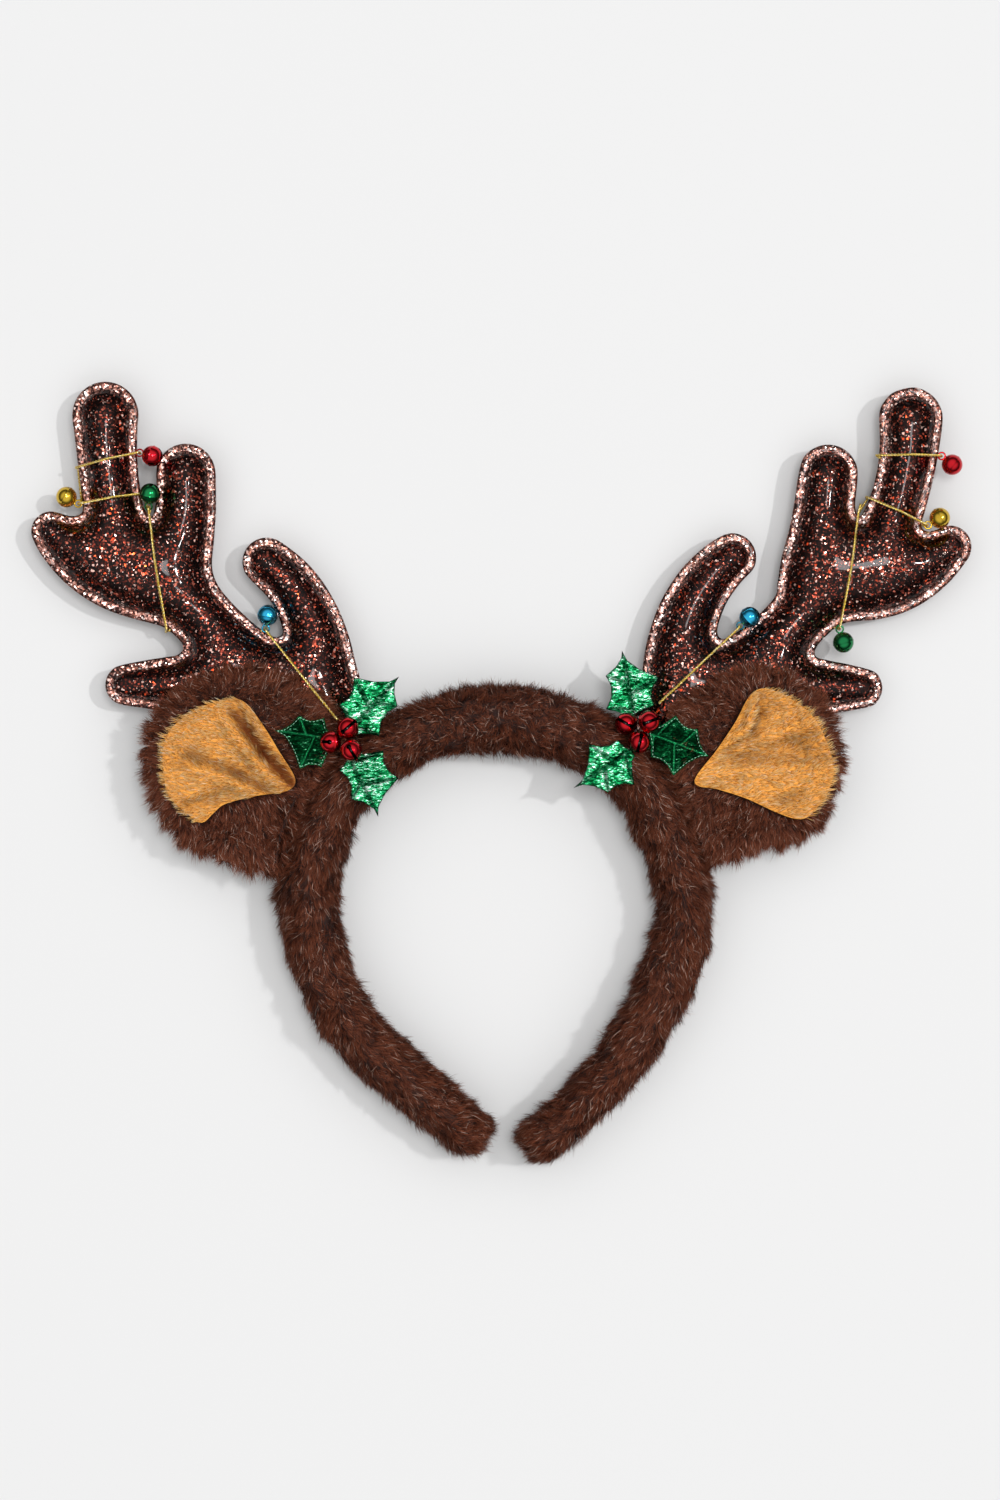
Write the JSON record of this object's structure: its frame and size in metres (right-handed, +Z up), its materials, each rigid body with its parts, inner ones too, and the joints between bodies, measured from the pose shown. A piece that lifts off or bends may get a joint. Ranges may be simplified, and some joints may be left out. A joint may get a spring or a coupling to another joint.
{
  "type": "reindeer antler headband",
  "caption": "Furry C-shaped costume headband with padded glitter reindeer antlers, plush ears, holly sprigs, bell berries and gold cords with small bells.",
  "frame": {"origin": "centre of the part's own box, on the flat underside that rests on a table", "axes": "+X across the head from the wearer's left-hand antler in the picture to the right-hand one, +Y from the band's open ends to its crown and the antlers' tips, +Z up from the table"},
  "size_m": [0.343, 0.2888, 0.0376],
  "materials": {
    "brown_fur": "long-pile brown faux fur",
    "tan_velboa": "short-pile tan velboa plush",
    "glitter_vinyl": "copper glitter under clear gloss vinyl",
    "green_foil": "crinkled metallic green foil cloth",
    "red_bell": "clear red lacquer over bright metal",
    "blue_bell": "clear blue lacquer over bright metal",
    "green_bell": "clear green lacquer over bright metal",
    "gold_bell": "clear gold lacquer over bright metal",
    "gold_cord": "twisted metallic gold thread"
  },
  "bodies": {
    "root": {"fur_band": "brown_fur", "antler_left": "glitter_vinyl", "ear_left": "brown_fur", "ear_lining_left": "tan_velboa", "antler_right": "glitter_vinyl", "ear_right": "brown_fur", "ear_lining_right": "tan_velboa", "holly_leaf_left_side": "green_foil", "holly_leaf_left_lower": "green_foil", "holly_leaf_left_upper": "green_foil", "holly_leaf_right_side": "green_foil", "holly_leaf_right_lower": "green_foil", "holly_leaf_right_upper": "green_foil", "berry_left_1": "red_bell", "berry_left_2": "red_bell", "berry_left_3": "red_bell", "berry_right_1": "red_bell", "berry_right_2": "red_bell", "berry_right_3": "red_bell", "bell_left_blue": "blue_bell", "bell_left_green": "green_bell", "bell_left_gold": "gold_bell", "bell_left_red": "red_bell", "bell_right_blue": "blue_bell", "bell_right_green": "green_bell", "bell_right_gold": "gold_bell", "bell_right_red": "red_bell", "gold_cord_left": "gold_cord", "gold_cord_right": "gold_cord"}
  },
  "joints": []
}
